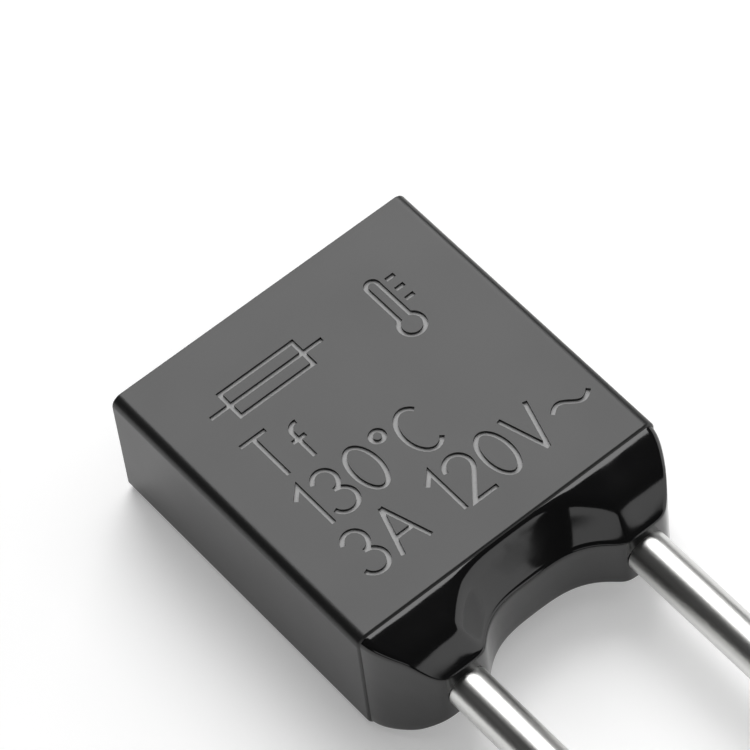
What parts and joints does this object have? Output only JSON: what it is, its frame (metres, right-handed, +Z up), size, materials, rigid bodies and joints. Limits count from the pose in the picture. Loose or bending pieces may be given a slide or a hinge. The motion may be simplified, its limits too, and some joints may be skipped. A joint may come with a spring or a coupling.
{
  "type": "thermal fuse",
  "caption": "Flat moulded thermal cut-off with a fusible alloy link inside, a potted resin seal in its open end and straight wire leads for soldering or crimping.",
  "frame": {"origin": "middle of the case's flat underside", "axes": "+X across the case from the left lead to the right one, +Y from the leads to the closed end, +Z up out of the broad upper face"},
  "size_m": [0.006, 0.0423, 0.0025],
  "materials": {
    "case": "black moulded thermoset, satin",
    "seal": "black potting epoxy, glossy",
    "lead": "tinned copper wire, bright",
    "alloy": "low-melting alloy, dull bright",
    "flux": "amber flux resin"
  },
  "bodies": {
    "root": {"case": "case", "seal": "seal", "lead_left": "lead", "lead_right": "lead", "fusible_link": "alloy", "flux": "flux"}
  },
  "joints": []
}
